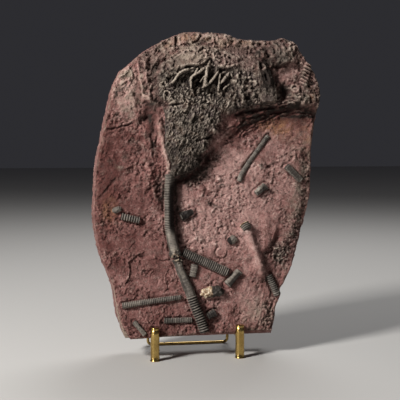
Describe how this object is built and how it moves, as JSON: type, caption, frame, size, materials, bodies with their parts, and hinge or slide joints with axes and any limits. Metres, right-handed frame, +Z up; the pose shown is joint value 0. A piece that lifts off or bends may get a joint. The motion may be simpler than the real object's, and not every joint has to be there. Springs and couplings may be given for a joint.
{
  "type": "crinoid fossil slab on display stand",
  "caption": "Fossil sea lily with its stem and loose stem pieces in an upright slab of red limestone, leaning back on a small brass wire stand.",
  "frame": {"origin": "middle of the bounding box's underside, on the table", "axes": "+Z up along the slab's height, +X to the right across its fossil face, +Y back through its thickness"},
  "size_m": [0.1574, 0.0546, 0.2212],
  "materials": {
    "matrix": "rough split red limestone with grit, pits and iron stain",
    "crown": "rough dark grey-green calcite, beige where it is worn",
    "stem": "ringed dull grey calcite",
    "stem_pieces": "ringed dull grey-buff calcite",
    "nodule": "dark grey-green calcite with a pale cream end",
    "brass": "polished, slightly aged"
  },
  "bodies": {
    "root": {"slab": "matrix", "crown": "crown", "stem": "stem", "stem_lower": "stem", "thick_stem_piece": "stem_pieces", "left_stem_piece": "stem_pieces", "left_knob": "stem_pieces", "long_stem_piece": "stem_pieces", "bottom_stem_piece": "stem_pieces", "bottom_stem_end": "stem_pieces", "small_stub": "stem_pieces", "nodule": "nodule", "broken_block": "stem_pieces", "smooth_rod": "stem_pieces", "right_stub": "stem_pieces", "right_block": "stem_pieces", "dark_fragment": "stem_pieces", "small_knob": "stem_pieces", "buried_stem_end": "stem_pieces", "edge_stem_piece": "stem_pieces", "flat_strip": "stem_pieces", "left_post": "brass", "right_post": "brass", "left_arm": "brass", "right_arm": "brass", "back_hoop": "brass"}
  },
  "joints": []
}
